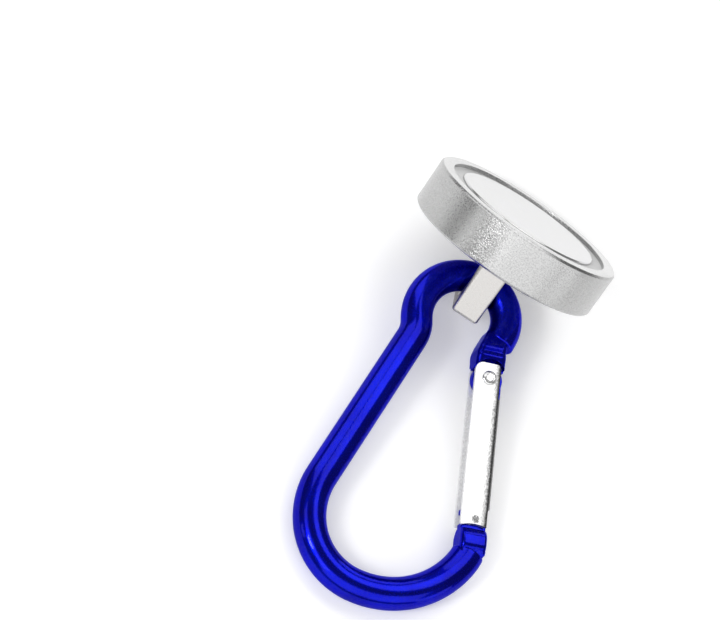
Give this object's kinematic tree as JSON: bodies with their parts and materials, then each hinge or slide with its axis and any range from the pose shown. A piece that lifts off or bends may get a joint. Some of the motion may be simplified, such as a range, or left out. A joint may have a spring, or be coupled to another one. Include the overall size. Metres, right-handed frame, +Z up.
{
  "type": "magnet fishing magnet",
  "caption": "Round pot magnet in a steel cup with a square drilled lug on its back, and a pear-shaped snap hook with a sprung gate that swings through the lug.",
  "frame": {"origin": "on the floor under the middle of the object's box, as it lies with the hook flat and the magnet leaning on its lug", "axes": "+Z up from the floor, +Y from the hook's round end to the magnet, +X to the gate's side"},
  "size_m": [0.0464, 0.0987, 0.0356],
  "materials": {
    "cup_steel": "satin nickel-plated turned steel with bright edge chamfers",
    "magnet_nickel": "smooth nickel plating",
    "adhesive": "cured glue",
    "potting_resin": "smooth cast grey resin",
    "lug_steel": "milled on the drilled faces, satin on the others",
    "blue_anodised": "glossy deep blue anodising",
    "gate_metal": "bright tumbled sheet",
    "rivet_metal": "bright with a pressed crown",
    "pin_steel": "ground flush",
    "spring_steel": "drawn wire"
  },
  "bodies": {
    "magnet": {"steel_cup": "cup_steel", "magnet_disc": "magnet_nickel", "glue_film": "adhesive", "potting_ring": "potting_resin", "eye_lug": "lug_steel"},
    "hook": {"carabiner_frame": "blue_anodised", "gate_spring": "spring_steel"},
    "gate": {"gate": "gate_metal", "hinge_rivet": "rivet_metal", "latch_pin": "pin_steel"}
  },
  "joints": [
    {"name": "carabiner_swing", "type": "hinge", "parent": "magnet", "child": "hook", "pos_m": [0.00002, 0.02298, 0.0094], "axis": [0.9774, -0.2113, 0], "range_deg": [-58, 140]},
    {"name": "gate_hinge", "type": "hinge", "parent": "hook", "child": "gate", "pos_m": [0.00641, 0.00299, 0.00763], "axis": [0, 0.0885, -0.9961], "range_deg": [0, 28], "stiffness_Nm_per_rad": 0.05, "springref_deg": -17.19, "deforming": ["gate_spring"]}
  ]
}
